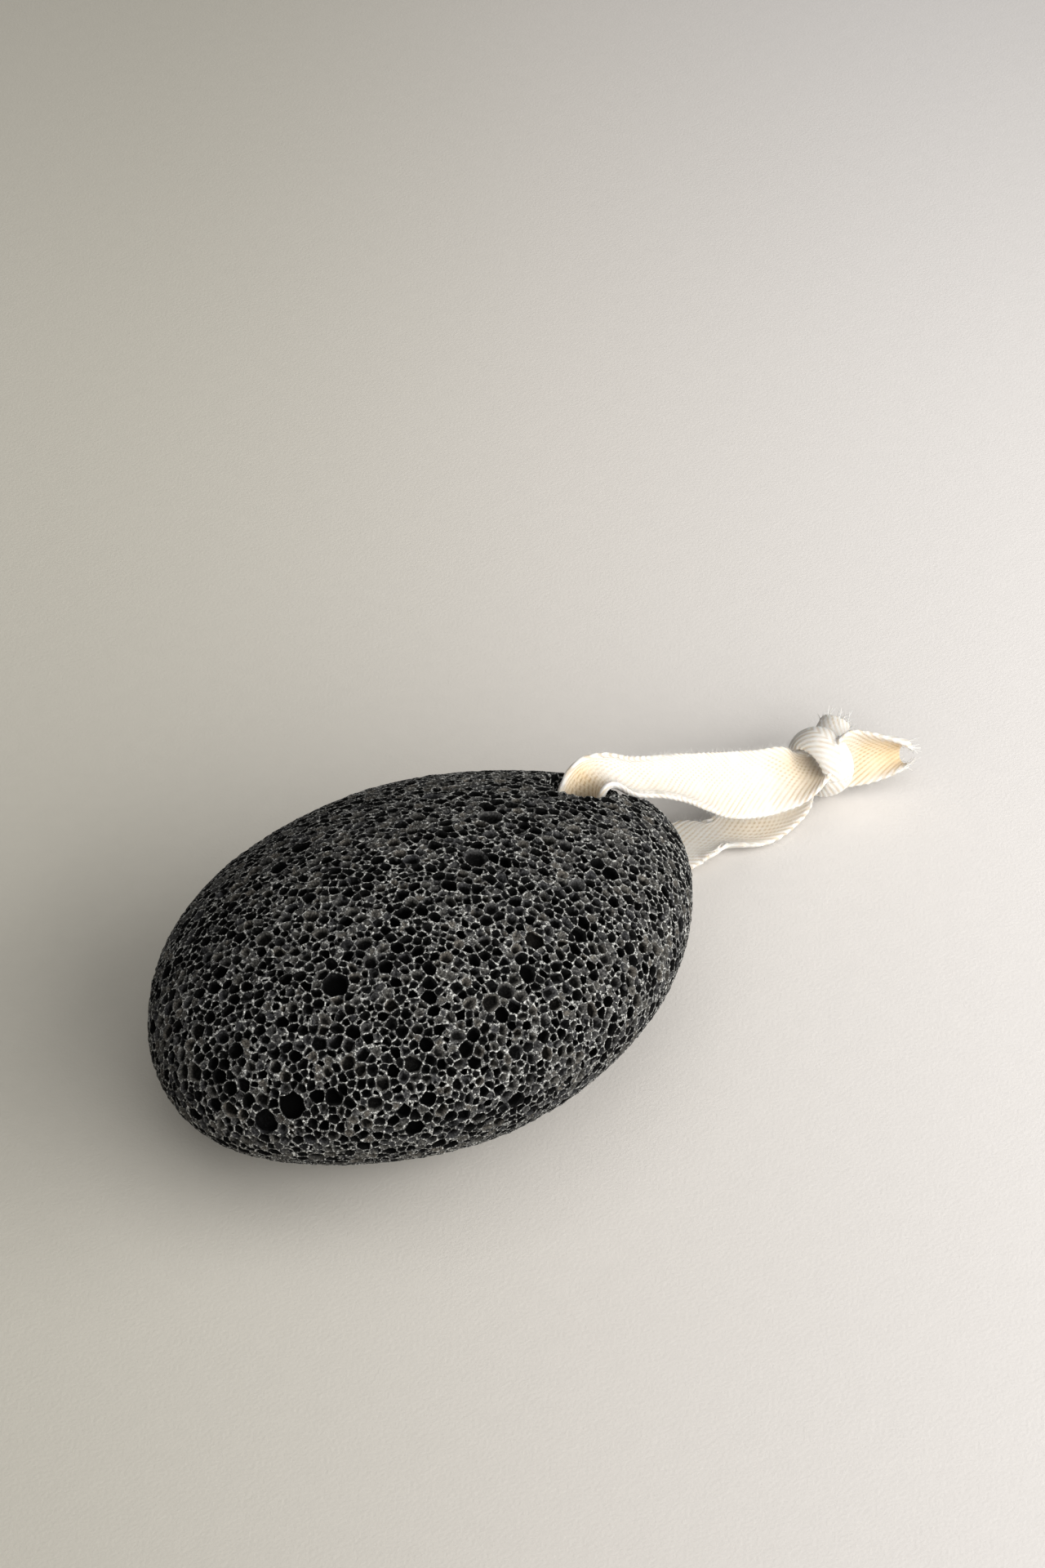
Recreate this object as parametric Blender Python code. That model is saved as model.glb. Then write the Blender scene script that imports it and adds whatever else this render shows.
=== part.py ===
"""A dark pumice foot stone with a hanging loop of cotton twill tape.

Metres, +Z up. The origin is the middle of the stone's base, the stone's long axis is X,
and the hole for the tape is near its +X end. The tape goes through the hole once, both
legs run out along +X, and one knot ties them together, with two short tails beyond it.
"""

import math

import bmesh
import bpy
import numpy as np
from mathutils import Vector

# The stone: an egg-shaped pebble with a small worn flat on its belly.
HALF_LENGTH = 0.0525
HALF_WIDTH = 0.0373
HALF_HEIGHT = 0.0226
CENTRE_HEIGHT = 0.0220
EGG_TAPER = 0.041

# Broad humps and hollows of the pebble: direction, height, and spread in radians.
LOBES = (
    ((0.95, -0.10, 0.31), 0.0010, 0.34),
    ((0.85, -0.53, 0.05), -0.0008, 0.30),
    ((0.62, 0.52, 0.58), -0.0006, 0.34),
    ((-0.20, 0.87, 0.45), 0.0005, 0.40),
    ((-0.83, 0.55, 0.05), -0.0008, 0.34),
    ((-0.95, -0.05, -0.30), 0.0009, 0.34),
    ((-0.70, -0.56, -0.43), -0.0008, 0.32),
    ((0.05, -0.92, -0.38), 0.0006, 0.40),
    ((0.15, 0.10, 0.98), 0.0005, 0.60),
)
RIPPLE_HEIGHT = 0.0002

# Pits: the open bubbles of the lava, as facets that fall to one point each.
PIT_COUNT = 1120
PIT_RADIUS = 0.00150
PIT_RADIUS_SPREAD = 0.30
PIT_DEPTH_RATIO = 0.85
PIT_DEPTH_LIMIT = 0.0024
PIT_SEED = 11
BELLY_PAD_RADIUS = 0.0075

# The largest bubbles: where they open, and their radius.
BIG_PITS = (
    ((-0.0478, -0.0156, 0.0247), 0.0026),
    ((-0.0444, -0.0183, 0.0280), 0.0027),
    ((-0.0300, -0.0313, 0.0232), 0.0022),
    ((-0.0291, -0.0112, 0.0402), 0.0027),
    ((0.0026, -0.0238, 0.0395), 0.0021),
    ((0.0056, -0.0060, 0.0443), 0.0025),
    ((0.0151, 0.0012, 0.0436), 0.0025),
    ((0.0209, -0.0322, 0.0165), 0.0025),
    ((-0.0120, 0.0270, 0.0350), 0.0026),
    ((-0.0380, 0.0200, 0.0150), 0.0025),
    ((0.0250, 0.0260, 0.0260), 0.0024),
    ((0.0080, 0.0360, 0.0180), 0.0025),
)

# The hole, drilled straight through, and its worn mouths: height and radius.
HOLE_X = 0.0388
HOLE_Y = 0.0045
HOLE_RADIUS = 0.00485
HOLE_PROFILE = (
    (-0.0020, 0.0068),
    (0.0130, HOLE_RADIUS),
    (0.0315, HOLE_RADIUS),
    (0.0470, 0.0076),
)
HOLE_SIDES = 24

# The channel that the tape has worn from the hole's upper mouth over the stone's end:
# a round bar's track, from one point in the air to another.
CHANNEL_START = (0.0454, 0.0053, 0.0391)
CHANNEL_END = (0.0542, 0.0045, 0.0329)
CHANNEL_RADIUS = 0.0074

# The tape: 13 mm herringbone twill.
TAPE_WIDTH = 0.0130
TAPE_THICKNESS = 0.0012
TAPE_STEPS = 2
TAPE_STRIPS = 6

# The loop's route from the knot, along the ground, up through the hole and back over
# the top: x, y, z in millimetres, the way that the width points, how far its width is
# rolled round in degrees, and how tall the roll is against a round one.
LOOP_ROUTE = (
    ((101.4, 8.2, 5.0), (0.15, 1.0, 0.2), -220, 0.5),
    ((96.4, 8.6, 2.6), (0.1, 1.0, 0.35), -130, 0.6),
    ((90.5, 7.2, 2.0), (0.1, 1.0, 0.4), -90, 0.8),
    ((84.5, 6.8, 1.7), (0.15, 1.0, 0.38), -85, 0.8),
    ((80.5, 7.6, 1.4), (0.25, 0.95, 0.2), -140, 0.5),
    ((77.5, 8.6, 1.3), (0.35, 0.9, 0.08), -215, 0.25),
    ((74.5, 9.6, 1.2), (0.45, 0.9, 0.0), -120, 0.3),
    ((71.0, 10.8, 1.2), (0.5, 0.87, 0.0), -30, 0.6),
    ((66.0, 11.4, 1.2), (0.2, 1.0, 0.0), 0, 1.0),
    ((60.0, 10.2, 2.0), (0.0, 1.0, 0.0), 25, 1.0),
    ((53.5, 8.2, 3.6), (-0.1, 1.0, 0.0), 75, 1.0),
    ((47.6, 6.7, 5.2), (-0.3, 0.95, 0.0), 145, 0.9),
    ((43.1, 6.4, 9.0), (-0.42, 0.9, 0.0), 190, 1.0),
    ((41.9, 6.2, 14.0), (-0.48, 0.87, 0.0), 196, 1.0),
    ((41.9, 6.2, 22.0), (-0.48, 0.87, 0.0), 196, 1.0),
    ((41.9, 6.2, 29.0), (-0.48, 0.87, 0.0), 196, 1.0),
    ((41.9, 6.0, 31.8), (-0.42, 0.9, 0.0), 198, 0.95),
    ((43.5, 5.6, 34.0), (-0.1, 0.95, 0.1), 206, 0.6),
    ((46.8, 5.3, 33.4), (0.3, 0.85, 0.28), 205, 0.34),
    ((51.0, 5.3, 30.3), (0.5, 0.8, 0.3), 205, 0.34),
    ((57.3, 5.4, 26.8), (0.62, 0.75, 0.16), 195, 0.36),
    ((63.8, 6.0, 22.8), (0.62, 0.73, 0.19), 150, 0.42),
    ((69.8, 6.6, 18.6), (0.62, 0.70, 0.28), 105, 0.5),
    ((76.6, 7.2, 14.2), (0.6, 0.65, 0.46), 55, 0.8),
    ((85.2, 7.3, 10.2), (0.58, 0.66, 0.45), 20, 1.0),
    ((91.7, 6.4, 8.4), (0.6, 0.71, 0.32), 45, 1.0),
    ((96.6, 5.6, 7.0), (0.6, 0.75, 0.05), 140, 0.7),
    ((101.4, 5.6, 6.6), (0.4, 0.8, 0.0), 235, 0.5),
)
FRONT_TAIL_ROUTE = (
    ((103.2, 5.2, 8.0), (0.1, 0.1, 1.0), 120, 1.0),
    ((106.4, 4.2, 7.8), (0.1, 0.1, 1.0), 60, 1.0),
    ((109.6, 3.2, 7.3), (0.1, 0.12, 1.0), 105, 1.0),
    ((112.6, 2.3, 6.7), (0.1, 0.15, 1.0), 165, 1.0),
    ((115.2, 1.6, 6.0), (0.1, 0.2, 1.0), 225, 1.0),
    ((117.4, 1.0, 5.3), (0.1, 0.2, 1.0), 285, 1.0),
)
BACK_TAIL_ROUTE = (
    ((103.0, 8.8, 8.0), (0.5, -0.5, 0.3), 190, 1.0),
    ((105.4, 10.0, 9.0), (0.5, -0.5, 0.4), 215, 0.9),
    ((107.8, 11.2, 10.0), (0.5, -0.5, 0.5), 225, 0.9),
    ((109.8, 12.0, 10.8), (0.5, -0.5, 0.5), 225, 0.9),
)

# The knot: a turn of tape round the gathered legs.
KNOT_CENTRE = (102.2, 6.6, 7.1)
KNOT_CORE_RADII = (4.9, 6.3, 6.3)
WRAP_AXIS = (1.0, 0.0, 0.05)
WRAP_RADIUS = 6.2
WRAP_CUP = -115
WRAP_WIDTH = 0.0082
WRAP_STATIONS = 20

MILLIMETRE = 0.001


def clear_scene():
    for old in list(bpy.data.objects):
        bpy.data.objects.remove(old)


def make_material(name, colour, roughness):
    """A Principled material with one colour and no metal."""
    material = bpy.data.materials.new(name)
    material.use_nodes = True
    shader = material.node_tree.nodes["Principled BSDF"]
    shader.inputs["Base Color"].default_value = (*colour, 1.0)
    shader.inputs["Roughness"].default_value = roughness
    shader.inputs["Metallic"].default_value = 0.0
    return material


def add_object(name, bm, material=None):
    """Turn a bmesh into a named object, with its faces pointing out."""
    bmesh.ops.recalc_face_normals(bm, faces=bm.faces)
    mesh = bpy.data.meshes.new(name)
    bm.to_mesh(mesh)
    bm.free()
    made = bpy.data.objects.new(name, mesh)
    bpy.context.collection.objects.link(made)
    if material:
        mesh.materials.append(material)
    return made


def hide_cutter(cutter):
    cutter.hide_render = True
    cutter.display_type = "WIRE"


def combine(target, other, operation):
    """Join or cut a solid by another one, which stays as a hidden guide."""
    boolean = target.modifiers.new(other.name, "BOOLEAN")
    boolean.operation = operation
    boolean.solver = "EXACT"
    boolean.object = other
    hide_cutter(other)


# ---- the stone ----


def unit(vectors):
    return vectors / np.linalg.norm(vectors, axis=-1, keepdims=True)


def local_scale(directions):
    """The pebble's three half sizes at each direction; the egg narrows towards +X."""
    narrowing = 1.0 - EGG_TAPER * directions[..., 0]
    return np.stack(
        [np.full_like(narrowing, HALF_LENGTH), HALF_WIDTH * narrowing, HALF_HEIGHT * narrowing],
        axis=-1,
    )


def relief(directions):
    """Height of the pebble's broad humps and hollows above the plain egg."""
    height = np.zeros(directions.shape[:-1])
    for towards, rise, spread in LOBES:
        aim = unit(np.array(towards))
        height += rise * np.exp((directions @ aim - 1.0) / spread**2)
    x, y, z = np.moveaxis(directions, -1, 0)
    ripple = np.sin(4.1 * x + 2.3 * z + 0.6) * np.sin(3.7 * y - 1.9 * x + 1.1)
    return height + RIPPLE_HEIGHT * ripple


def stone_surface(directions, bumps=True):
    """Points on the pebble's skin in the given unit directions from its middle."""
    scale = local_scale(directions)
    points = directions * scale
    if bumps:
        gauge = np.linalg.norm(directions / scale, axis=-1)
        points = points * (1.0 + relief(directions) * gauge)[..., None]
    points = points + np.array([0.0, 0.0, CENTRE_HEIGHT])
    points[..., 2] = np.maximum(points[..., 2], 0.0)
    return points


def stone_directions(points):
    """The unit directions in which the given points lie, seen from the stone's middle."""
    offset = points - np.array([0.0, 0.0, CENTRE_HEIGHT])
    along = np.clip(offset[..., 0:1] / HALF_LENGTH, -1.0, 1.0)
    narrowing = 1.0 - EGG_TAPER * along
    sizes = np.concatenate(
        [np.full_like(along, HALF_LENGTH), HALF_WIDTH * narrowing, HALF_HEIGHT * narrowing],
        axis=-1,
    )
    return unit(offset / sizes)


def pit_places():
    """Directions and radii of pits of mixed sizes, spread so that none crowds another."""
    rng = np.random.default_rng(PIT_SEED)
    radii = np.sort(PIT_RADIUS * rng.lognormal(0.0, PIT_RADIUS_SPREAD, PIT_COUNT))[::-1]
    directions = [stone_directions(np.array(place)) for place, _ in BIG_PITS]
    sizes = [radius for _, radius in BIG_PITS]
    points = [direction * local_scale(direction) for direction in directions]
    tries = 300
    for radius in radii[len(BIG_PITS):]:
        trial = unit(rng.normal(size=(tries, 3)))
        trial_points = trial * local_scale(trial)
        # Even cover: keep a trial as often as its patch of skin is stretched.
        stretch = np.linalg.norm(trial / local_scale(trial), axis=-1)
        worth = rng.random(tries) < stretch / stretch.max()
        gaps = np.linalg.norm(trial_points[:, None] - np.array(points)[None], axis=-1)
        room = (gaps - np.array(sizes)[None]).min(axis=1) - radius
        fits = np.flatnonzero(worth & (room > 0.0))
        best = fits[0] if len(fits) else int(np.argmax(room))
        directions.append(trial[best])
        points.append(trial_points[best])
        sizes.append(radius)
    return np.array(directions), np.array(sizes)


def cell_net(directions):
    """Which pits meet at each corner of the skin's net, and which corners share an edge."""
    net = bmesh.new()
    corners_of = directions * local_scale(directions)
    verts = [net.verts.new(point) for point in corners_of]
    net.verts.index_update()
    bmesh.ops.convex_hull(net, input=verts)
    net.faces.index_update()
    triangles = [[vert.index for vert in face.verts] for face in net.faces]
    edges = []
    for edge in net.edges:
        first, second = edge.link_faces
        edges.append((edge.verts[0].index, edge.verts[1].index, first.index, second.index))
    net.free()
    return np.array(triangles), edges


def pitted_skin():
    """The stone's skin as a bmesh: each pit is a fan of facets down from its rim."""
    directions, sizes = pit_places()
    triangles, edges = cell_net(directions)
    rim = stone_surface(unit(directions[triangles].mean(axis=1)))

    rng = np.random.default_rng(PIT_SEED + 1)
    floors = stone_surface(directions)
    inward = -unit(directions / local_scale(directions))
    depth = PIT_DEPTH_RATIO * sizes * rng.uniform(0.7, 1.25, len(sizes))
    depth = np.minimum(depth, PIT_DEPTH_LIMIT)
    on_pad = (np.hypot(floors[:, 0], floors[:, 1]) < BELLY_PAD_RADIUS) & (floors[:, 2] <= 0.0)
    depth[on_pad] = 0.0
    floors = floors + inward * depth[:, None]

    low = rim.min(axis=0)
    high = rim.max(axis=0)
    middle = (low + high) / 2.0
    middle[2] = 0.0
    bm = bmesh.new()
    rim_verts = [bm.verts.new(point) for point in rim - middle]
    floor_verts = [bm.verts.new(point) for point in floors - middle]
    for cell_a, cell_b, corner_a, corner_b in edges:
        bm.faces.new((floor_verts[cell_a], rim_verts[corner_a], rim_verts[corner_b]))
        bm.faces.new((floor_verts[cell_b], rim_verts[corner_b], rim_verts[corner_a]))
    return bm


def turned_solid(profile, sides, centre_x, centre_y):
    """A closed solid turned round a vertical axis, from (height, radius) pairs."""
    bm = bmesh.new()
    rings = []
    for height, radius in profile:
        ring = []
        for step in range(sides):
            angle = 2.0 * math.pi * step / sides
            x = centre_x + radius * math.cos(angle)
            y = centre_y + radius * math.sin(angle)
            ring.append(bm.verts.new((x, y, height)))
        rings.append(ring)
    for lower, upper in zip(rings, rings[1:]):
        for step in range(sides):
            after = (step + 1) % sides
            bm.faces.new((lower[step], lower[after], upper[after], upper[step]))
    bm.faces.new(rings[0])
    bm.faces.new(rings[-1])
    return bm


def round_bar(start, end, radius):
    """A closed bar with round ends, between two points."""
    ball = bmesh.new()
    bmesh.ops.create_icosphere(ball, subdivisions=3, radius=radius)
    bm = bmesh.new()
    for place in (start, end):
        for vert in ball.verts:
            bm.verts.new(vert.co + Vector(place))
    ball.free()
    bmesh.ops.convex_hull(bm, input=bm.verts)
    inner = [vert for vert in bm.verts if not vert.link_faces]
    bmesh.ops.delete(bm, geom=inner, context="VERTS")
    return bm


def build_stone():
    material = make_material("pumice", (0.100, 0.100, 0.096), 0.92)
    stone = add_object("pumice_stone", pitted_skin(), material)
    drill_shape = turned_solid(HOLE_PROFILE, HOLE_SIDES, HOLE_X, HOLE_Y)
    drill = add_object("hole_cutter", drill_shape)
    combine(stone, drill, "DIFFERENCE")
    channel = add_object("channel_cutter", round_bar(CHANNEL_START, CHANNEL_END, CHANNEL_RADIUS))
    combine(stone, channel, "DIFFERENCE")
    return stone


# ---- the tape ----


def smooth_rows(rows, steps):
    """Catmull-Rom curve through the rows of a table, ends included."""
    rows = np.array(rows, dtype=float)
    padded = np.vstack([2.0 * rows[0] - rows[1], rows, 2.0 * rows[-1] - rows[-2]])
    curve = []
    for before, start, end, after in zip(padded, padded[1:], padded[2:], padded[3:]):
        for step in range(steps):
            t = step / steps
            bend = 2.0 * before - 5.0 * start + 4.0 * end - after
            swing = 3.0 * start - before - 3.0 * end + after
            curve.append(start + 0.5 * ((end - before) * t + bend * t**2 + swing * t**3))
    curve.append(rows[-1])
    return np.array(curve)


def band_sections(rows, width):
    """Rings of points round the tape's section, one at each station of its route."""
    centres = rows[:, 0:3] * MILLIMETRE
    forward = unit(np.gradient(centres, axis=0))
    across = rows[:, 3:6]
    across = unit(across - (across * forward).sum(axis=1, keepdims=True) * forward)
    up = np.cross(forward, across)
    cups = np.radians(rows[:, 6])
    rings = []
    for centre, side, lift, cup, tall in zip(centres, across, up, cups, rows[:, 7]):
        inner = []
        outer = []
        for strip in range(TAPE_STRIPS + 1):
            share = strip / TAPE_STRIPS - 0.5
            angle = cup * share
            # sinc keeps the arc's formula sound where the tape is flat.
            reach = share * width * np.sinc(angle / np.pi)
            rise = reach * math.tan(angle / 2.0) * tall
            middle = centre + side * reach + lift * rise
            lean = math.atan2(math.sin(angle) * tall, math.cos(angle))
            face = lift * math.cos(lean) - side * math.sin(lean)
            inner.append(middle + face * TAPE_THICKNESS / 2.0)
            outer.append(middle - face * TAPE_THICKNESS / 2.0)
        rings.append(inner + outer[::-1])
    return rings


def route_band(route):
    table = [(*place, *width, cup, tall) for place, width, cup, tall in route]
    return loft(band_sections(smooth_rows(table, TAPE_STEPS), TAPE_WIDTH), False)


def loft(rings, closed):
    """A solid skinned over rings with the same count of points."""
    bm = bmesh.new()
    loops = [[bm.verts.new(point) for point in ring] for ring in rings]
    count = len(loops[0])
    pairs = list(zip(loops, loops[1:]))
    if closed:
        pairs.append((loops[-1], loops[0]))
    for first, second in pairs:
        for step in range(count):
            after = (step + 1) % count
            bm.faces.new((first[step], first[after], second[after], second[step]))
    if not closed:
        for end in (loops[0], loops[-1]):
            for step in range(count // 2 - 1):
                bm.faces.new((end[step], end[step + 1], end[-step - 2], end[-step - 1]))
    return bm


def wrap_band():
    """The knot's turn: a crowned band that circles the gathered legs."""
    axis = Vector(WRAP_AXIS).normalized()
    first = axis.cross(Vector((0.0, 0.0, 1.0))).normalized()
    second = axis.cross(first)
    rows = []
    for station in range(-1, WRAP_STATIONS + 1):
        turn = 2.0 * math.pi * station / WRAP_STATIONS
        outward = first * math.cos(turn) + second * math.sin(turn)
        rows.append((*(Vector(KNOT_CENTRE) + outward * WRAP_RADIUS), *axis, WRAP_CUP, 1.0))
    rings = band_sections(np.array(rows), WRAP_WIDTH)
    return loft(rings[1:-1], True)


def knot_core():
    """The gathered tape inside the wrap."""
    bm = bmesh.new()
    bmesh.ops.create_icosphere(bm, subdivisions=2, radius=1.0)
    bmesh.ops.scale(bm, vec=Vector(KNOT_CORE_RADII) * MILLIMETRE, verts=bm.verts)
    bmesh.ops.translate(bm, vec=Vector(KNOT_CENTRE) * MILLIMETRE, verts=bm.verts)
    return bm


def build_tape():
    material = make_material("cotton", (0.86, 0.80, 0.69), 0.95)
    tape = add_object("cotton_tape", route_band(LOOP_ROUTE), material)
    pieces = (
        ("knot_core", knot_core()),
        ("knot_wrap", wrap_band()),
        ("front_tail", route_band(FRONT_TAIL_ROUTE)),
        ("back_tail", route_band(BACK_TAIL_ROUTE)),
    )
    for name, bm in pieces:
        combine(tape, add_object(name, bm), "UNION")
    return tape


clear_scene()
build_stone()
build_tape()
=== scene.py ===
"""Visual model of a dark pumice foot stone with a knotted loop of cotton tape.

The frame is the CAD's: metres, +Z up, origin at the middle of the stone's base, the
stone's long axis along X and the hole for the tape near its +X end.
"""

import math

import bpy
import numpy as np
import openvdb
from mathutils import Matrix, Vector


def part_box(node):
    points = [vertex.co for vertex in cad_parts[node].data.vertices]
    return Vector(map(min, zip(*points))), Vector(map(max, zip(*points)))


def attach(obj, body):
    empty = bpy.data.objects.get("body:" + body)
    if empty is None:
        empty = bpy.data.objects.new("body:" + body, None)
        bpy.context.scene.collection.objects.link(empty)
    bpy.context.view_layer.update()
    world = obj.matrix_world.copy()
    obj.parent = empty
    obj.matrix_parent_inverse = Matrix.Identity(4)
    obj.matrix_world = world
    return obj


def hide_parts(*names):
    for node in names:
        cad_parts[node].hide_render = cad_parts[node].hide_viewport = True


MILLIMETRE = 0.001
TINY = 1e-6

# ---- sizes of the stone, as in the CAD source ----

HALF_LENGTH = 0.0525
HALF_WIDTH = 0.0373
HALF_HEIGHT = 0.0226
CENTRE_HEIGHT = 0.0220
EGG_TAPER = 0.041

# The broad humps and hollows: the way each lies from the middle, its rise, its spread.
LOBES = (
    ((0.95, -0.10, 0.31), 0.0010, 0.34),
    ((0.85, -0.53, 0.05), -0.0008, 0.30),
    ((0.62, 0.52, 0.58), -0.0006, 0.34),
    ((-0.20, 0.87, 0.45), 0.0005, 0.40),
    ((-0.83, 0.55, 0.05), -0.0008, 0.34),
    ((-0.95, -0.05, -0.30), 0.0009, 0.34),
    ((-0.70, -0.56, -0.43), -0.0008, 0.32),
    ((0.05, -0.92, -0.38), 0.0006, 0.40),
    ((0.15, 0.10, 0.98), 0.0005, 0.60),
)

# The fine ripple is the product of these sine waves: the radians for each unit of x, y
# and z, and those at the start.
RIPPLE_HEIGHT = 0.0002
RIPPLE_WAVES = ((4.1, 0.0, 2.3, 0.6), (-1.9, 3.7, 0.0, 1.1))

# The hole's axis, and its radius at each height.
HOLE_X = 0.0388
HOLE_Y = 0.0045
HOLE_PROFILE = ((-0.0020, 0.0068), (0.0130, 0.00485), (0.0315, 0.00485), (0.0470, 0.0076))

# The worn channel from the hole's upper mouth over the stone's end, as in the CAD source.
CHANNEL_START = (0.0454, 0.0053, 0.0391)
CHANNEL_END = (0.0542, 0.0045, 0.0329)
CHANNEL_RADIUS = 0.0074

# ---- the stone's bubbles ----

BUBBLE_SEED = 5
GRID_STEP = 0.00022
MARGIN_CELLS = 3.0
LAYERS = 16
FAR_AWAY = 0.01
SKIN_TRIANGLES = 190000

# Steps round and up the pebble when its middle is measured.
MIDDLE_TURNS = 721
MIDDLE_TILTS = 361

# The wall between two bubbles: its thickness, the depth from which it grows, how much
# it grows for each metre below that, and its random unevenness. Beyond CORNER_GAP from
# every bubble, and below DEEPEST, there is no hollow.
WALL = 0.00023
WALL_GROWTH_START = 0.0003
WALL_GROWTH = 0.30
RAGGED = 0.00006
CORNER_GAP = 0.00095
DEEPEST = 0.0019

# The skin is worn down by up to CRUMBLE_DEPTH, in soft patches CRUMBLE_STEP apart. The
# last cell lies CLOUD_END before the count of their values, to have one on either side.
CRUMBLE_STEP = 0.0009
CRUMBLE_DEPTH = 0.00035
CLOUD_END = 1.001

# Where bubbles have their middles, as a distance from the skin. A new one's middle lies
# outside all the others by at least CROWDING times its radius. Each one's radius and its
# three axes vary by these shares.
BUBBLE_BAND = (-0.0009, 0.0001)
CROWDING = 0.50
RADIUS_SPREAD = (0.92, 1.10)
STRETCH = (0.82, 1.22)

# A class of bubbles is packed in rounds, each with at least so many places to try.
PACK_ROUNDS = 6
LEAST_PICKS = 6000

# Radius of each class of bubble, and the most that it may fill of the band. A class
# with no share goes on for as long as there is room.
BUBBLE_CLASSES = (
    (0.00145, 0.12),
    (0.00120, 0.30),
    (0.00100, 0.45),
    (0.00084, None),
    (0.00060, 0.06),
)

# The largest bubbles: where they open, their radius, and how deep their middles lie.
BIG_BUBBLES = (
    ((-0.0478, -0.0156, 0.0247), 0.0023, 0.0012),
    ((-0.0444, -0.0183, 0.0280), 0.0024, 0.0013),
    ((-0.0300, -0.0313, 0.0232), 0.0019, 0.0012),
    ((-0.0291, -0.0112, 0.0402), 0.0025, -0.0006),
    ((0.0026, -0.0238, 0.0395), 0.0019, 0.0012),
    ((0.0056, -0.0060, 0.0443), 0.0023, -0.0006),
    ((0.0151, 0.0012, 0.0436), 0.0023, -0.0004),
    ((0.0209, -0.0322, 0.0165), 0.0022, 0.0006),
    ((-0.0120, 0.0270, 0.0350), 0.0023, 0.0010),
    ((-0.0380, 0.0200, 0.0150), 0.0022, 0.0008),
    ((0.0250, 0.0260, 0.0260), 0.0021, 0.0010),
    ((0.0080, 0.0360, 0.0180), 0.0022, 0.0004),
)


def unit(vectors):
    """The vectors, each with a length of one."""
    return vectors / np.linalg.norm(vectors, axis=-1, keepdims=True)


def local_scale(along):
    """The pebble's three half sizes where the unit direction's x is along."""
    narrowing = 1.0 - EGG_TAPER * along
    length = np.full_like(narrowing, HALF_LENGTH)
    return np.stack([length, HALF_WIDTH * narrowing, HALF_HEIGHT * narrowing], axis=-1)


def relief(directions):
    """Height of the pebble's broad humps and hollows above the plain egg."""
    height = np.zeros(directions.shape[:-1], directions.dtype)
    for towards, rise, spread in LOBES:
        aim = unit(np.array(towards)).astype(directions.dtype)
        height += rise * np.exp((directions @ aim - 1.0) / spread**2)
    x, y, z = np.moveaxis(directions, -1, 0)
    ripple = 1.0
    for along_x, along_y, along_z, start in RIPPLE_WAVES:
        ripple = ripple * np.sin(along_x * x + along_y * y + along_z * z + start)
    return height + RIPPLE_HEIGHT * ripple


def pebble_middle():
    """Middle of the smooth pebble's box, which the CAD puts at the origin."""
    turns = np.linspace(0.0, 2.0 * math.pi, MIDDLE_TURNS)[:, None]
    tilts = np.linspace(-0.5 * math.pi, 0.5 * math.pi, MIDDLE_TILTS)[None, :]
    level = np.cos(tilts)
    parts = np.broadcast_arrays(np.cos(turns) * level, np.sin(turns) * level, np.sin(tilts))
    directions = np.stack(parts, axis=-1)
    scale = local_scale(directions[..., 0])
    gauge = np.linalg.norm(directions / scale, axis=-1)
    skin = directions * scale * (1.0 + relief(directions) * gauge)[..., None]
    skin = skin.reshape(-1, 3)
    middle = (skin.min(axis=0) + skin.max(axis=0)) / 2.0
    return np.array([middle[0], middle[1], 0.0])


def solid_field(points, middle):
    """Distance outside (+) or inside (-) the smooth pebble with its hole and channel."""
    offset = points + (middle - np.array([0.0, 0.0, CENTRE_HEIGHT])).astype(points.dtype)
    along = np.clip(offset[..., 0] / HALF_LENGTH, -1.0, 1.0)
    q = offset / local_scale(along)
    length = np.maximum(np.linalg.norm(q, axis=-1), TINY)
    directions = q / length[..., None]
    gauge = np.linalg.norm(directions / local_scale(along), axis=-1)
    skin = (length - 1.0) / gauge - relief(directions)
    ground = -points[..., 2]
    heights = np.array([height for height, _ in HOLE_PROFILE])
    radii = np.array([radius for _, radius in HOLE_PROFILE])
    reach = np.hypot(points[..., 0] - HOLE_X, points[..., 1] - HOLE_Y)
    drilled = np.interp(points[..., 2], heights, radii) - reach
    start = np.array(CHANNEL_START, points.dtype)
    track = np.array(CHANNEL_END, points.dtype) - start
    share = np.clip((points - start) @ track / (track @ track), 0.0, 1.0)
    worn = CHANNEL_RADIUS - np.linalg.norm(points - start - share[..., None] * track, axis=-1)
    return np.max([skin, ground, drilled, worn], axis=0).astype(np.float32)


def outward(place):
    """The way out of the pebble's egg at a place on it."""
    slope = np.array(place) / np.square([HALF_LENGTH, HALF_WIDTH, HALF_HEIGHT])
    return unit(slope - np.array([0.0, 0.0, CENTRE_HEIGHT / HALF_HEIGHT**2]))


# ---- the stone's mesh ----


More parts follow.
